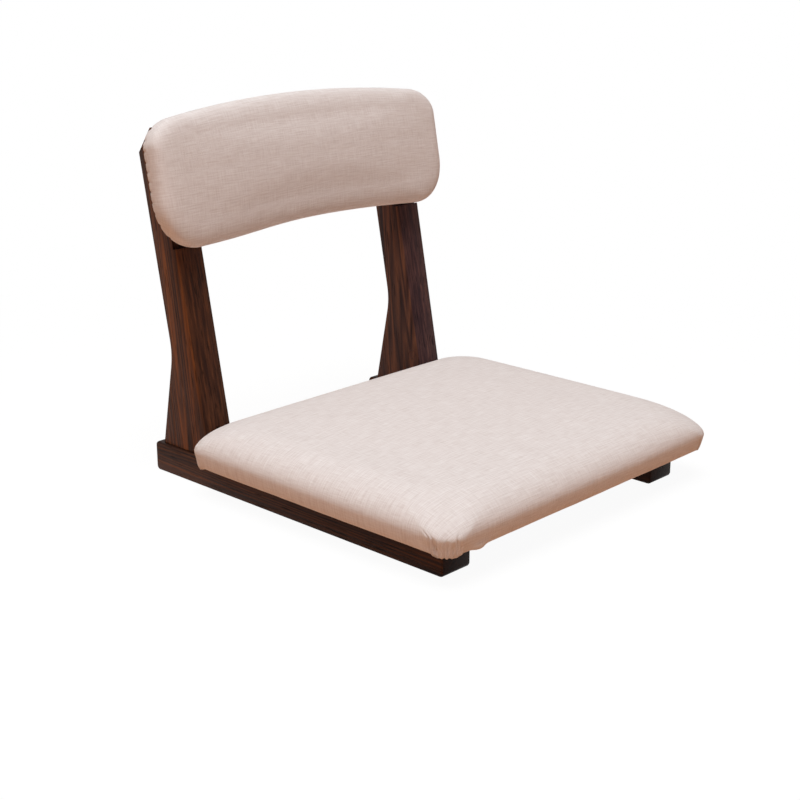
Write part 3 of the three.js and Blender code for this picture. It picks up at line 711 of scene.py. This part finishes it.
def swell(piece, held):
    """Blows a cushion up a little. Held is a weight from 0 to 1 for each point."""
    before = places(piece)
    pins = piece.vertex_groups.new(name="held")
    for index, weight in enumerate(held):
        pins.add([index], max(float(weight), foam_grip), "REPLACE")
    cloth = piece.modifiers.new("cloth", "CLOTH")
    cloth.settings.quality = 6
    cloth.settings.mass = 0.2
    cloth.settings.tension_stiffness = cloth_stiffness
    cloth.settings.compression_stiffness = cloth_stiffness
    cloth.settings.shear_stiffness = cloth_stiffness / 2
    cloth.settings.bending_stiffness = 5
    cloth.settings.use_pressure = True
    cloth.settings.uniform_pressure_force = swell_pressure
    cloth.settings.effector_weights.gravity = 0
    cloth.settings.vertex_group_mass = "held"
    cloth.collision_settings.use_collision = False
    cloth.point_cache.frame_start = 1
    cloth.point_cache.frame_end = swell_frames
    for number in range(1, swell_frames + 1):
        bpy.context.scene.frame_set(number)
    apply_modifiers(piece)
    bpy.context.scene.frame_set(1)
    piece.vertex_groups.clear()
    moved = places(piece) - before
    length = np.linalg.norm(moved, axis=1)
    share = furthest_swell / np.maximum(length, furthest_swell)
    set_places(piece, before + moved * share[:, None])
    return float(length.max())


def refine(piece):
    """Splits every cell in four along a smooth surface."""
    finer = piece.modifiers.new("finer", "SUBSURF")
    finer.levels = 1
    finer.render_levels = 1
    apply_modifiers(piece)


print("pressure:", swell_pressure, "frames:", swell_frames)

# %% [markdown]
# ## The seat cushion
# The seat is a flat board with thick foam on it. Its top is almost level, and a soft shoulder
# runs down to an upright side, so a superellipse fits the section better than a circle. Seen
# from above, the corners grow rounder with height, because the cloth is drawn down over foam
# whose corners give way. The cover turns sharply under the board.

# %% The seat's section
seat_low, seat_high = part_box("seat_cover")
seat_half_x = (seat_high.x - seat_low.x) / 2
seat_half_y = (seat_high.y - seat_low.y) / 2
seat_middle_y = (seat_high.y + seat_low.y) / 2
seat_bottom = seat_low.z
seat_radii = np.array([0.0276, 0.0209])
seat_top_radii = np.array([0.073, 0.0433])
seat_bulge = 0.0006
seat_crown = 0.0035
seat_edge_top = 0.0868
seat_widest = 0.0555
seat_shoulder = 0.0472
seat_power = 1.9
seat_under_round = 0.005
seat_under_power = 1.3
hem_radii = np.array([0.004, 0.004])
hem_steps = (0.005, 0.012)
swell_room = 0.0012
pin_fade = 0.004
seat_cells = (30, 16)
seat_rows_over, seat_rows_under = 17, 7
curve_samples = 400


def superellipse(reach, rise, power, steps):
    """(inset, height) pairs evenly spaced from the top of a soft edge down to its widest line."""
    shares = np.linspace(0, 1, curve_samples)
    inset = reach * (1 - (1 - shares**power) ** (1 / power))
    height = rise * shares
    run = np.concatenate([[0], np.cumsum(np.hypot(np.diff(inset), np.diff(height)))])
    even = np.linspace(run[-1], 0, steps)
    return [(float(np.interp(d, run, inset)), float(np.interp(d, run, height))) for d in even]


def seat_section():
    rise = seat_edge_top - swell_room - seat_widest
    rows = []
    for inset, height in superellipse(seat_shoulder, rise, seat_power, seat_rows_over):
        radii = seat_radii + (seat_top_radii - seat_radii) * height / rise
        rows.append((inset, seat_widest + height, radii))
    drop = seat_widest - seat_bottom
    under = superellipse(seat_under_round, drop, seat_under_power, seat_rows_under)
    for inset, height in under[-2::-1]:
        rows.append((inset, seat_widest - height, seat_radii - inset))
    rows += [(seat_under_round + step, seat_bottom, hem_radii) for step in hem_steps]
    return rows


seat_rows = seat_section()
print("rows in the seat's section:", len(seat_rows))

# %% Build and swell the seat
def build_seat():
    points, faces, flat = cushion_form(
        seat_half_x - swell_room,
        seat_half_y - swell_room,
        seat_rows,
        seat_crown,
        seat_bulge,
        seat_cells,
    )
    points[:, 1] += seat_middle_y
    cushion = mesh_object("seat_cushion", points, faces, flat, seat_linen)
    held = np.clip((seat_widest - pin_fade - points[:, 2]) / pin_fade, 0, 1)
    furthest = swell(cushion, held)
    refine(cushion)
    print("the seat's cover moved, m:", round(furthest, 4))
    return cushion


seat = build_seat()
print("points in the seat:", len(seat.data.vertices))

# %% [markdown]
# ## Gathers, tucks and a hand-pulled hem
# A flat cloth can't turn a corner without spare width, so the upholsterer pulls it into small
# gathers and staples them under the board. They show as short creases that fade out up the side,
# with a few deeper tucks among them, and between them the hem hangs in small scallops.
# The hem between the corners is pulled by hand, so it isn't quite straight, and at the front
# right a fold of cloth hangs out as a small lip. All are made after the cloth has settled, by
# moving the cushion's points: inwards along each crease, and down along the hem.

# %% Creases round a corner
corner_reach = 0.02
hem_height = 0.010
deepest_crease = 1.3
hem_crease_share = 0.3
crease_hold = 0.25
crease_power = 1.5


def smooth_step(low, high, values):
    share = np.clip((values - low) / (high - low), 0, 1)
    return share * share * (3 - 2 * share)


def corner_angles(points, side_x, side_y):
    """The angle round one corner of the seat, in degrees, and which points lie near it."""
    which = 0 if side_y < 0 else 1
    upward = seat_rows[: -len(hem_steps)][::-1]
    heights = [height for inset, height, radii in upward]
    inset = np.interp(points[:, 2], heights, [inset for inset, height, radii in upward])
    radius = np.interp(points[:, 2], heights, [radii[which] for inset, height, radii in upward])
    across = points[:, 0] * side_x - (seat_half_x - swell_room - inset - radius)
    along = (points[:, 1] - seat_middle_y) * side_y - (seat_half_y - swell_room - inset - radius)
    near = (across > -corner_reach) & (along > -corner_reach)
    return np.degrees(np.arctan2(along, across)), near


def crease_depth(angle, climbed, creases):
    """How deep the creases press in at each point.

    Angle is in degrees round the corner and climbed is the height above the hem in metres.
    Each crease is (angle at the hem, lean in degrees per metre, width in degrees, reach up the
    side in metres, strength).
    """
    depth = np.zeros(len(angle))
    rooted = hem_crease_share + (1 - hem_crease_share) * smooth_step(0.0, hem_height, climbed)
    for place, lean, width, reach, strength in creases:
        gap = (angle - place - lean * climbed) / width
        fade = 1 - smooth_step(crease_hold * reach, reach, climbed)
        depth += strength * np.exp(-np.abs(gap) ** crease_power) * fade
    return np.minimum(depth, deepest_crease) * rooted


print("creases reach down to the hem at a share of:", hem_crease_share)

# %% Small gathers, and the wave of the hem
gather_count = 13
gather_span = (-16, 98)
gather_scatter = 2.2
gather_leans = (-260, 260)
gather_widths = (1.6, 3.0)
gather_reaches = (0.012, 0.030)
gather_strengths = (0.3, 0.9)


def small_gathers(random):
    """Creases at uneven places round a corner, a little past both ends of its quarter turn."""
    spread = np.linspace(*gather_span, gather_count)
    spread += random.normal(0, gather_scatter, gather_count)
    limits = (gather_leans, gather_widths, gather_reaches, gather_strengths)
    return [(place, *(random.uniform(*limit) for limit in limits)) for place in spread]


hem_wave_turns = (5, 9, 17, 31, 47)
hem_wave_height = 0.00035
hem_wave_seed = 11


def hem_wave(points, seed):
    """A wave round the cushion that makes its hand-pulled hem a little uneven."""
    random = np.random.default_rng(seed)
    around = np.arctan2(points[:, 1] - seat_middle_y, points[:, 0])
    wave = np.zeros(len(points))
    for turns in hem_wave_turns:
        height = random.normal(0, 1) / turns**0.5
        wave += height * np.sin(turns * around + random.uniform(0, 2 * math.pi))
    return wave


print("small gathers at each corner:", gather_count)

# %% Tucks, scallops and the lip
gather_depth = 0.0030
gather_seed = 21
gather_starts, gather_full = -26, -12
droop_starts, droop_full = -4, 16
slope_starts, slope_full = 0.25, 0.5
least_slope = 1e-6
scallop_count = 14
least_droop = 0.0009
scallop_drop = 0.0019
far_droop_share = 0.4
lip_middle_x = -0.178
lip_half_width = 0.008
lip_rise = 0.0024
lip_starts, lip_full = 0.5, 0.9

# The deepest folds at each corner, by its side along X and Y, as crease_depth takes them.
tucks = {
    (-1, -1): [
        (-15, 120, 2.6, 0.026, 0.9),
        (2, 90, 2.4, 0.028, 1.0),
        (12, 60, 2.2, 0.026, 1.2),
        (20, -80, 2.2, 0.022, 1.1),
    ],
    (-1, 1): [
        (22, 380, 3.4, 0.050, 1.3),
        (30, 300, 3.0, 0.046, 1.1),
        (58, -200, 2.6, 0.030, 0.9),
    ],
    (1, -1): [
        (30, 0, 2.2, 0.034, 1.0),
        (42, 0, 2.0, 0.038, 1.1),
        (54, 0, 2.0, 0.036, 1.0),
        (66, 0, 2.2, 0.030, 0.9),
    ],
    (1, 1): [(35, 80, 2.6, 0.032, 1.0), (60, -80, 2.6, 0.030, 1.0)],
}
print("tucks:", sum(len(folds) for folds in tucks.values()))

# %% Move the seat's points
def round_the_corner(angle, start, full):
    """One within a corner's quarter turn, fading to zero at the start angle past both ends."""
    return smooth_step(start, full, angle) * smooth_step(start, full, 90 - angle)


def gather_seat(cushion):
    """Presses the creases into the settled cushion, lets its hem hang and draws out the lip."""
    points = places(cushion)
    facing = point_values(cushion, "normal")
    steepness = np.linalg.norm(facing[:, :2], axis=1)
    level = facing[:, :2] / np.maximum(steepness, least_slope)[:, None]
    climbed = points[:, 2] - seat_bottom
    on_side = smooth_step(slope_starts, slope_full, steepness)
    near_hem = 1 - smooth_step(0.0, hem_height, climbed)
    pressed = np.zeros(len(points))
    dropped = np.zeros(len(points))
    for number, ((side_x, side_y), deep_tucks) in enumerate(tucks.items()):
        angle, near = corner_angles(points, side_x, side_y)
        here = near * round_the_corner(angle, gather_starts, gather_full)
        creases = small_gathers(np.random.default_rng(gather_seed + number)) + deep_tucks
        pressed += here * crease_depth(angle, climbed, creases)
        bunched = here * near_hem * round_the_corner(angle, droop_starts, droop_full)
        scallops = np.abs(np.sin(np.radians(angle) * scallop_count + number))
        droop = bunched * (least_droop + scallop_drop * scallops)
        dropped += droop if side_x < 0 else far_droop_share * droop
    lip = np.exp(-(((points[:, 0] - lip_middle_x) / lip_half_width) ** 2)) * near_hem
    lip *= smooth_step(lip_starts, lip_full, -level[:, 1]) * on_side
    points[:, 1] -= lip_rise * lip
    dropped += lip_rise * lip
    points[:, :2] -= level * (gather_depth * pressed * on_side)[:, None]
    points[:, 2] -= dropped
    points[:, 2] += hem_wave_height * hem_wave(points, hem_wave_seed) * near_hem
    set_places(cushion, points)


gather_seat(seat)
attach(seat, "base")
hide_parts("seat_cover", "seat_foam")
print("gathers and hem are made")

# %% [markdown]
# ## The backrest cushion
# The backrest is thinner and stands on a bent board. It is drawn flat, as the seat is, and then
# laid on the bow of the board: its ends come forward to hold the sitter, and its top edge falls
# away towards both ends. Its face is fuller along the middle than near the rim, and the filling
# has sagged a little at the sitter's right. The rear face follows the board, and small dimples
# show where staples pull the cover round its edge.

# %% The plane and the bow of the backrest
back_centre = Vector((0, 0.202642, 0.3488))
back_half_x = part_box("back_cover")[1].x
back_half_height = 0.0741
back_radii = np.array([0.049, 0.036])
back_front_radii = np.array([0.043, 0.033])
back_thickness = 0.0365
back_crown = 0.0025
back_bow = 0.009
back_notch = 0.0056
back_top_arch = 0.0183
back_bottom_arch = 0.0115
back_sag = 0.0045
back_sag_middle = -0.125
back_sag_width = 0.08
back_widest = 0.018
back_rear_round = 0.0087
back_shoulder = 0.0275
back_power = 3.2
back_cells = (22, 16)
back_rows_over, back_rows_under = 13, 6
back_hem_steps = (0.004, 0.009)
back_pin_start = 0.016
post_low, post_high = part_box("post_left")
post_middle_x = (post_low.x + post_high.x) / 2


def bow_at(x):
    """How far the bowed board stands forward of the posts' front faces, at each x."""
    return back_bow * (x**2 - post_middle_x**2) / back_half_x**2 - back_notch


def on_backrest(x, height, forward):
    """Lays flat places, in metres across, up and forward, on the backrest's bow and arches."""
    arch = np.where(height > 0, back_top_arch, back_bottom_arch)
    drop = arch * (x / back_half_x) ** 2 * np.abs(height / back_half_height)
    sag = back_sag * np.exp(-(((x - back_sag_middle) / back_sag_width) ** 2))
    up = height - drop + sag * np.minimum(height / back_half_height, 0)
    rearward = -forward - bow_at(x)
    y = back_centre.y + rearward * math.cos(rake) + up * math.sin(rake)
    z = back_centre.z - rearward * math.sin(rake) + up * math.cos(rake)
    return np.stack([x, y, z], axis=-1)


print("bow at the middle, m:", round(float(bow_at(0)), 4))

# %% The backrest's section, and its fuller middle
back_rim_share = 0.88
back_fullness = 0.3
fullness_power = 6


def back_section():
    rise = back_thickness - swell_room - back_widest
    section = []
    for inset, height in superellipse(back_shoulder, rise, back_power, back_rows_over):
        radii = back_radii + (back_front_radii - back_radii) * height / rise
        section.append((inset, back_widest + height, radii))
    for turn in np.linspace(0, math.pi / 2, back_rows_under)[1:]:
        inset = back_rear_round * (1 - math.cos(turn))
        section.append((inset, back_widest * (1 - math.sin(turn)), back_radii - inset))
    for step in back_hem_steps:
        inset = back_rear_round + step
        section.append((inset, 0.0, back_radii - inset))
    return section


def fuller(x, height, forward):
    """Rounds the face from top to bottom: fuller along its middle and flatter at its rim."""
    upright = 1 - (height / back_half_height) ** 2
    lengthwise = 1 - (x / back_half_x) ** fullness_power
    share = back_rim_share + back_fullness * upright * lengthwise
    return np.where(forward > back_widest, back_widest + (forward - back_widest) * share, forward)


print("rows in the backrest's section:", len(back_section()))

# %% Pull the staples, then build and swell the backrest
staple_count = 44
staple_pitch = 0.028
staple_width = 0.003
staple_pull = 0.0013
staple_rim = 0.003
staple_fade = (0.004, 0.014)


def pull_staples(cushion):
    """Presses a row of small dimples into the rear edge, where staples pull the cover tight."""
    points = places(cushion)
    facing = point_values(cushion, "normal")
    up_vector = np.array([0, math.sin(rake), math.cos(rake)])
    rear_vector = np.array([0, math.cos(rake), -math.sin(rake)])
    away = points - np.array(back_centre)
    around = np.arctan2(away @ up_vector / back_half_height, points[:, 0] / back_half_x)
    depth = -(away @ rear_vector) - bow_at(points[:, 0])
    near_rear = smooth_step(0.0, staple_rim, depth) * (1 - smooth_step(*staple_fade, depth))
    spacing = 2 * math.pi / staple_count
    gap = (np.mod(around, spacing) / spacing - 0.5) * staple_pitch
    dimple = np.exp(-((gap / staple_width) ** 2)) * near_rear
    set_places(cushion, points - facing * (staple_pull * dimple)[:, None])


def build_back():
    points, faces, flat = cushion_form(
        back_half_x - swell_room,
        back_half_height - swell_room,
        back_section(),
        back_crown,
        0.0,
        back_cells,
    )
    forward = fuller(points[:, 0], points[:, 1], points[:, 2])
    held = np.clip((back_pin_start - forward) / pin_fade, 0, 1)
    laid = on_backrest(points[:, 0], points[:, 1], forward)
    cushion = mesh_object("back_cushion", laid, faces, flat, back_linen)
    furthest = swell(cushion, held)
    refine(cushion)
    pull_staples(cushion)
    print("the backrest's cover moved, m:", round(furthest, 4))
    return cushion


back = build_back()
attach(back, "back")
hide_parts("back_cover", "back_foam")
print("points in the backrest:", len(back.data.vertices))

# %% [markdown]
# ## The dust cloth and the rear panel
# Two flat sheets close the cushions. A black dust cloth is stapled under the seat and hides the
# cover's raw edge. It hangs a little between the skids, and puckers towards its edge. A panel of
# the same linen covers the rear of the backrest and turns in at its edge. Each is thin, so it is
# drawn as one outline that is filled with a fine grid.

# %% A thin sheet
sheet_cells = (30, 8)


def sheet_grid(half_x, half_y, radii):
    """A rounded sheet as a grid of points, with its faces and flat places."""
    shares, level, grid_u, grid_v = square_grid(sheet_cells)
    count = len(shares)
    x, y = rounded(grid_u, grid_v, half_x, half_y, radii, 0.0)
    flat = np.stack([x * level, y * level], axis=-1).reshape(-1, 2)
    faces = [(a, a + 1, a + count + 1, a + count) for a in first_corners(count)]
    return flat, faces, level.reshape(-1)


print("cells along a side of a sheet, and in each corner:", sheet_cells)

# %% The dust cloth
dust_cloth_inset = 0.014
dust_cloth_sag = 0.0022
sag_starts, sag_full = 0.002, 0.03
sag_power = 3
pucker_depth = 0.0005
pucker_turn_per_metre = 150
puckers_start = 0.6


def build_dust_cloth():
    low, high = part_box("seat_dust_cloth")
    half_x = (high.x - low.x) / 2
    half_y = (high.y - low.y) / 2
    flat, faces, level = sheet_grid(half_x, half_y, seat_radii - dust_cloth_inset)
    height = (low.z + high.z) / 2
    off_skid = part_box("skid_left")[0].x - np.abs(flat[:, 0])
    free = smooth_step(sag_starts, sag_full, off_skid)
    sag = dust_cloth_sag * free * (1 - level**sag_power)
    wave = np.sin(flat[:, 1] * pucker_turn_per_metre)
    puckers = pucker_depth * free * wave * smooth_step(puckers_start, 1.0, level)
    z = height - sag + puckers
    points = np.stack([flat[:, 0], flat[:, 1] + seat_middle_y, z], axis=-1)
    return mesh_object("dust_cloth", points, faces, flat, dust_felt), (2 * half_x, 2 * half_y)


dust_cloth, dust_cloth_size = build_dust_cloth()
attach(dust_cloth, "base")
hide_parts("seat_dust_cloth")
print("dust cloth, m:", [round(v, 3) for v in dust_cloth_size])

# %% The rear panel
panel_inset = 0.012
panel_puff = 0.0007
panel_welt = 0.0003
panel_turn_in = 0.0006
welt_starts, welt_ends = 0.9, 0.985


def build_rear_panel():
    half_x = back_half_x - panel_inset
    half_y = back_half_height - panel_inset
    flat, faces, level = sheet_grid(half_x, half_y, back_radii - panel_inset)
    welt = panel_welt * smooth_step(welt_starts, welt_ends, level)
    turned_in = panel_turn_in * smooth_step(welt_ends, 1.0, level)
    laid = on_backrest(flat[:, 0], flat[:, 1], turned_in - welt - panel_puff)
    return mesh_object("rear_panel", laid, faces, flat, back_linen), (2 * half_x, 2 * half_y)


rear_panel, rear_panel_size = build_rear_panel()
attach(rear_panel, "back")
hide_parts("back_lining")
print("rear panel, m:", [round(v, 3) for v in rear_panel_size])

# %% [markdown]
# ## The studio
# The floor is a wide sheet. Looked at, it glows just enough to reach white, while it still takes
# the chair's shadow, and farther out it fades to plain white. Light on its way to the chair meets
# sand-coloured paint instead, which warms the chair from below. The room is made in the same way:
# white to the eye, and a weak warm light to the chair. A wide soft lamp hangs overhead, and a weak
# one stands at the left of the picture.

# %% The floor
floor_paint = colour(206, 158, 126)
floor_grey = (0.058, 0.058, 0.058, 1)
floor_glow = 0.947
floor_fade = (0.45, 1.1)
floor_half_size = 6.0
floor_drop = 0.0002


def seen_directly(tree):
    """One where a camera, mirror or glass ray looks, and zero for light on its way."""
    path = add_node(tree, "ShaderNodeLightPath")
    either = sum_of(tree, "MAXIMUM", path.outputs["Is Camera Ray"], path.outputs["Is Glossy Ray"])
    return sum_of(tree, "MAXIMUM", either, path.outputs["Is Transmission Ray"])


def lit_or_seen(tree, lit, seen):
    """Light on its way meets the first shader, and a direct look meets the second."""
    wires = {"Fac": seen_directly(tree), 1: lit, 2: seen}
    return add_node(tree, "ShaderNodeMixShader", wires).outputs["Shader"]


def floor_material():
    material, tree, surface = new_material("pale_floor")
    surface.inputs["Base Color"].default_value = floor_paint
    surface.inputs["Roughness"].default_value = 0.9
    surface.inputs["Specular IOR Level"].default_value = 0.0
    shaded = add_node(tree, "ShaderNodeBsdfDiffuse", {"Color": floor_grey})
    glow = add_node(tree, "ShaderNodeEmission", {"Color": white, "Strength": floor_glow})
    plain = add_node(tree, "ShaderNodeEmission", {"Color": white, "Strength": 1.0})
    wires = {0: shaded.outputs["BSDF"], 1: glow.outputs["Emission"]}
    both = add_node(tree, "ShaderNodeAddShader", wires).outputs["Shader"]
    at = add_node(tree, "ShaderNodeTexCoord").outputs["Object"]
    away = add_node(tree, "ShaderNodeVectorMath", {"Vector": at}, operation="LENGTH")
    near, far_off = floor_fade
    wires = {"Value": away.outputs["Value"], "From Min": near, "From Max": far_off}
    far = add_node(tree, "ShaderNodeMapRange", wires, interpolation_type="SMOOTHSTEP")
    wires = {"Fac": far.outputs["Result"], 1: both, 2: plain.outputs["Emission"]}
    faded = add_node(tree, "ShaderNodeMixShader", wires).outputs["Shader"]
    chosen = lit_or_seen(tree, surface.outputs["BSDF"], faded)
    tree.links.new(chosen, tree.nodes["Material Output"].inputs["Surface"])
    return material


def make_floor():
    mesh = bpy.data.meshes.new("floor")
    half = floor_half_size
    corners = [(-half, -half, 0), (half, -half, 0), (half, half, 0), (-half, half, 0)]
    mesh.from_pydata(corners, [], [(0, 1, 2, 3)])
    mesh.materials.append(floor_material())
    floor = bpy.data.objects.new("floor", mesh)
    floor.location.z = -floor_drop
    bpy.context.scene.collection.objects.link(floor)
    floor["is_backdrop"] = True


make_floor()
print("floor, m:", 2 * floor_half_size)

# %% The room
room_light = (1.0, 0.72, 0.56, 1)
room_strength = 0.17


def make_world():
    world = bpy.data.worlds.new("studio")
    world.use_nodes = True
    tree = world.node_tree
    tree.nodes.clear()
    wires = {"Color": room_light, "Strength": room_strength}
    room = add_node(tree, "ShaderNodeBackground", wires)
    plain = add_node(tree, "ShaderNodeBackground", {"Color": white, "Strength": 1.0})
    chosen = lit_or_seen(tree, room.outputs["Background"], plain.outputs["Background"])
    add_node(tree, "ShaderNodeOutputWorld", {"Surface": chosen})
    bpy.context.scene.world = world


make_world()
print("strength of the room's light:", room_strength)

# %% Lamps
def add_lamp(name, place, aim, size, power, tint):
    data = bpy.data.lights.new(name, "AREA")
    data.shape = "DISK"
    data.size = size
    data.energy = power
    data.color = tint
    lamp = bpy.data.objects.new(name, data)
    lamp.location = place
    lamp.rotation_mode = "QUATERNION"
    lamp.rotation_quaternion = (Vector(aim) - Vector(place)).to_track_quat("-Z", "Y")
    bpy.context.scene.collection.objects.link(lamp)


chair_middle = (0, 0, 0.15)
add_lamp(
    "sky_lamp",
    place=(-1.2, -0.85, 5.1),
    aim=chair_middle,
    size=3.3,
    power=286,
    tint=(0.98, 1.0, 1.02),
)
add_lamp(
    "window_lamp",
    place=(-2.5, 0.9, 1.4),
    aim=chair_middle,
    size=1.4,
    power=3.5,
    tint=(1.0, 0.98, 0.96),
)
bpy.context.scene.view_settings.view_transform = "Standard"

# %% [markdown]
# ## Measuring
# The frame's box and the dressed chair's box are printed side by side.

# %% Sizes, and the end
view_low, view_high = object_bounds()
sizes = {
    "cad": [list(cad_low), list(cad_high)],
    "visual": [list(view_low), list(view_high)],
}
for name, box in sizes.items():
    print(name, "box, m:", [round(v, 4) for corner in box for v in corner])
